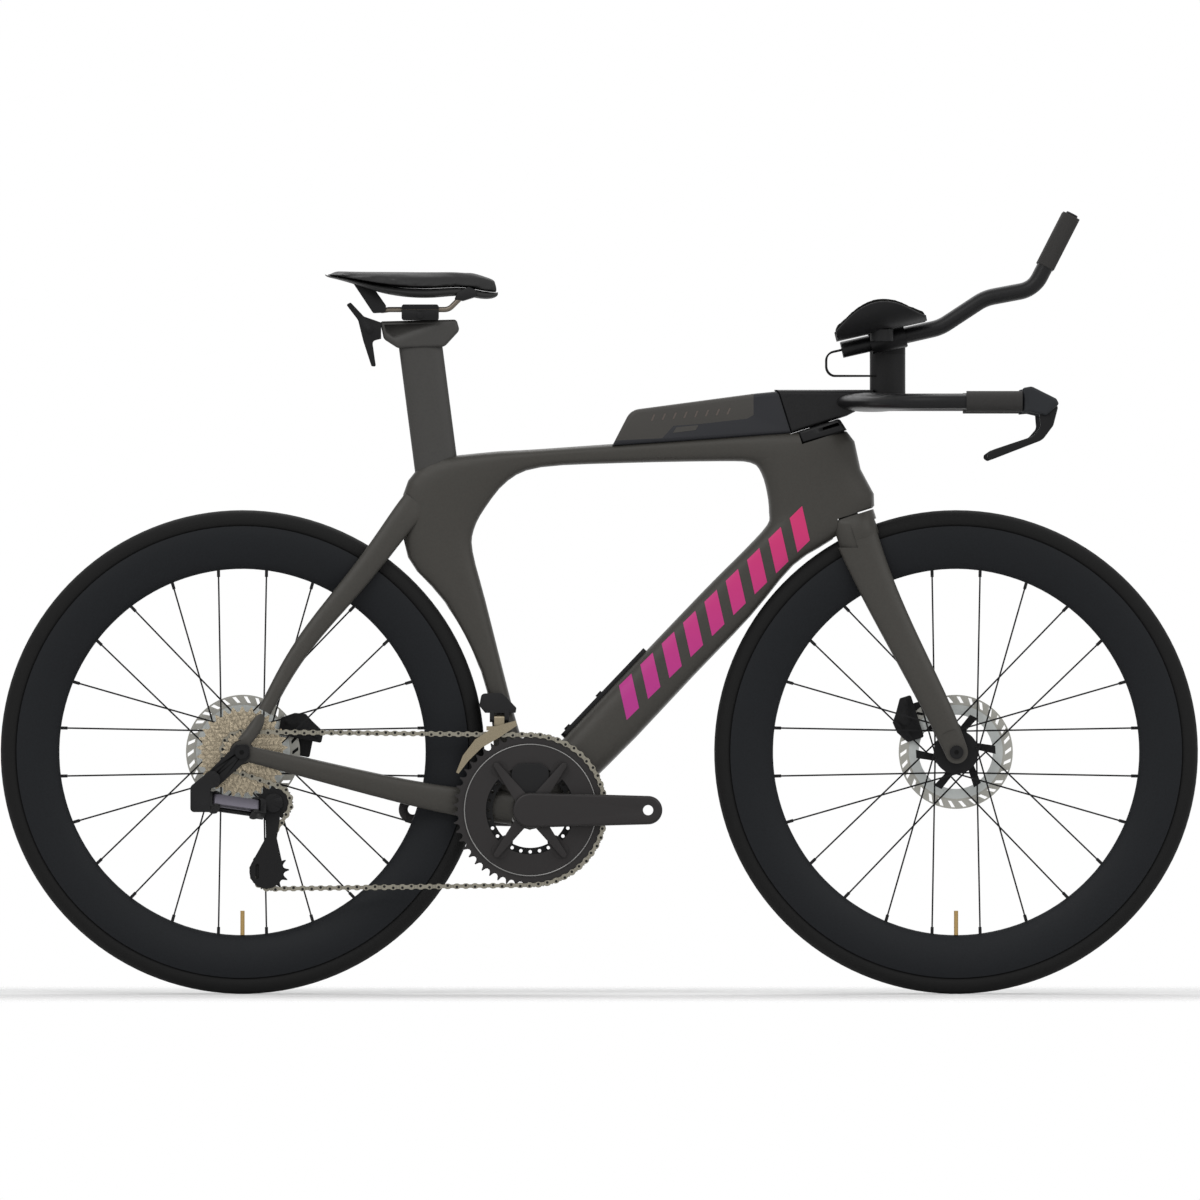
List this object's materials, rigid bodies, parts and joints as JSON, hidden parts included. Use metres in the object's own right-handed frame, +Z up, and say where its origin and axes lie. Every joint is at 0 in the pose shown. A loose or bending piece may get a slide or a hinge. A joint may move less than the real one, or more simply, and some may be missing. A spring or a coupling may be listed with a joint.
{
  "type": "time trial bicycle",
  "caption": "Aero time trial bicycle with deep rims, disc brakes, base bar with arm rests and upturned extensions, storage box, and derailleur gears.",
  "frame": {"origin": "on the ground, midway between the two axles, on the bike's middle plane", "axes": "+X forward, +Y to the rider's left, +Z up; the chain side is at -Y"},
  "size_m": [1.678, 0.439, 1.0962],
  "materials": {
    "frame_paint": "satin",
    "carbon": "satin",
    "post_paint": "satin",
    "rim_carbon": "matte",
    "tyre": "matte",
    "black_alloy": "satin black",
    "grey_alloy": "satin",
    "graphite_alloy": "satin",
    "silver_steel": "polished",
    "rotor_steel": "machined",
    "spoke_steel": "black",
    "plastic": "matte",
    "cover_plastic": "matte",
    "lever_plastic": "matte",
    "grip_rubber": "matte",
    "foam": "matte",
    "saddle_skin": "matte",
    "wire": "matte"
  },
  "bodies": {
    "frame": {"main_frame": "frame_paint", "derailleur_hanger": "black_alloy", "rear_thru_axle": "black_alloy", "bottom_bracket": "black_alloy", "headset_bearings": "silver_steel", "headset_cover": "carbon", "bottle_rail": "plastic", "storage_base": "plastic", "storage_cover": "cover_plastic", "rear_caliper": "black_alloy", "front_derailleur_body": "plastic", "derailleur_mount": "plastic", "chain": "silver_steel"},
    "seat": {"seatpost": "post_paint", "carrier_bracket": "black_alloy", "saddle_clamp": "black_alloy", "saddle_rails": "silver_steel", "saddle_shell": "plastic", "saddle_cover": "saddle_skin"},
    "steering": {"fork": "frame_paint", "front_thru_axle": "black_alloy", "front_caliper": "black_alloy", "base_bar": "carbon", "bar_tape": "grip_rubber", "lever_bodies": "lever_plastic", "aero_riser": "carbon", "aerobar_bracket": "black_alloy", "extensions": "carbon", "extension_grips": "grip_rubber", "shift_wires": "wire", "arm_cups": "plastic", "arm_pads": "foam"},
    "left_lever": {"brake_lever_left": "black_alloy"},
    "right_lever": {"brake_lever_right": "black_alloy"},
    "left_button": {"shift_button_left": "plastic"},
    "right_button": {"shift_button_right": "plastic"},
    "front_wheel": {"front_rim": "rim_carbon", "front_spokes": "spoke_steel", "front_tyre": "tyre", "front_hub": "black_alloy", "front_rotor": "rotor_steel"},
    "rear_wheel": {"rear_rim": "rim_carbon", "rear_spokes": "spoke_steel", "rear_tyre": "tyre", "rear_hub": "black_alloy", "rear_rotor": "rotor_steel"},
    "cassette_body": {"cassette": "silver_steel"},
    "crankset": {"crank_right": "graphite_alloy", "crank_left": "graphite_alloy", "crank_spindle": "black_alloy", "chainring_outer": "graphite_alloy", "chainring_inner": "black_alloy", "power_meter_pod": "plastic"},
    "outer_link": {"derailleur_outer_link": "grey_alloy"},
    "inner_link": {"derailleur_inner_link": "black_alloy"},
    "knuckle": {"cage_knuckle": "black_alloy"},
    "cage": {"derailleur_cage": "black_alloy"},
    "guide": {"guide_pulley": "plastic"},
    "tension": {"tension_pulley": "plastic"},
    "changer": {"front_derailleur_cage": "silver_steel"}
  },
  "joints": [
    {"name": "seatpost_height", "type": "slide", "parent": "frame", "child": "seat", "axis": [-0.1288, 0, 0.9917], "range_m": [-0.02, 0.04]},
    {"name": "steering_turn", "type": "hinge", "parent": "frame", "child": "steering", "pos_m": [0.45708, 0, 0.32547], "axis": [-0.3007, 0, 0.9537], "range_deg": [-40, 40]},
    {"name": "left_lever_pull", "type": "hinge", "parent": "steering", "child": "left_lever", "pos_m": [0.62316, 0.2, 0.82218], "axis": [0, 1, 0], "range_deg": [0, 18], "stiffness_Nm_per_rad": 1, "springref_deg": -5.73},
    {"name": "right_lever_pull", "type": "hinge", "parent": "steering", "child": "right_lever", "pos_m": [0.62316, -0.2, 0.82218], "axis": [0, 1, 0], "range_deg": [0, 18], "stiffness_Nm_per_rad": 1, "springref_deg": -5.73},
    {"name": "left_button_press", "type": "slide", "parent": "steering", "child": "left_button", "axis": [-0.455, 0, -0.8905], "range_m": [0, 0.0012], "stiffness_N_per_m": 1500, "springref_m": -0.0005},
    {"name": "right_button_press", "type": "slide", "parent": "steering", "child": "right_button", "axis": [-0.455, 0, -0.8905], "range_m": [0, 0.0012], "stiffness_N_per_m": 1500, "springref_m": -0.0005},
    {"name": "front_wheel_spin", "type": "hinge", "parent": "steering", "child": "front_wheel", "pos_m": [0.5, 0, 0.339], "axis": [0, 1, 0], "continuous": true},
    {"name": "rear_wheel_spin", "type": "hinge", "parent": "frame", "child": "rear_wheel", "pos_m": [-0.5, 0, 0.339], "axis": [0, 1, 0], "continuous": true},
    {"name": "crank_spin", "type": "hinge", "parent": "frame", "child": "crankset", "pos_m": [-0.0967, 0, 0.258], "axis": [0, 1, 0], "continuous": true, "deforming": ["chain"]},
    {"name": "cassette_spin", "type": "hinge", "parent": "frame", "child": "cassette_body", "pos_m": [-0.5, -0.04, 0.339], "axis": [0, 1, 0], "continuous": true},
    {"name": "shift_outer_link", "type": "hinge", "parent": "frame", "child": "outer_link", "pos_m": [-0.536, -0.088, 0.272], "axis": [0, 0.5, 0.866], "range_deg": [-11, 31]},
    {"name": "shift_inner_link", "type": "hinge", "parent": "frame", "child": "inner_link", "pos_m": [-0.53958, -0.07718, 0.26575], "axis": [0, 0.5, 0.866], "range_deg": [-11, 31]},
    {"name": "shift_knuckle", "type": "hinge", "parent": "outer_link", "child": "knuckle", "pos_m": [-0.48025, -0.07415, 0.26401], "axis": [0, 0.5, 0.866], "range_deg": [-31, 11]},
    {"name": "cage_swing", "type": "hinge", "parent": "knuckle", "child": "cage", "pos_m": [-0.456, -0.0475, 0.268], "axis": [0, 1, 0], "range_deg": [-20, 30], "stiffness_Nm_per_rad": 1.2},
    {"name": "guide_pulley_spin", "type": "hinge", "parent": "cage", "child": "guide", "pos_m": [-0.456, -0.0475, 0.268], "axis": [0, 1, 0], "continuous": true},
    {"name": "tension_pulley_spin", "type": "hinge", "parent": "cage", "child": "tension", "pos_m": [-0.46172, -0.0475, 0.17217], "axis": [0, 1, 0], "continuous": true},
    {"name": "front_shift", "type": "hinge", "parent": "frame", "child": "changer", "pos_m": [-0.14, -0.041, 0.386], "axis": [1, 0, 0], "range_deg": [0, 6]}
  ],
  "couplings": [
    {"joint": "cassette_spin", "follows": "crank_spin", "ratio": 3.7143},
    {"joint": "guide_pulley_spin", "follows": "crank_spin", "ratio": -4.3333},
    {"joint": "tension_pulley_spin", "follows": "crank_spin", "ratio": 4.3333},
    {"joint": "shift_inner_link", "follows": "shift_outer_link", "ratio": 1},
    {"joint": "shift_knuckle", "follows": "shift_outer_link", "ratio": -1}
  ]
}
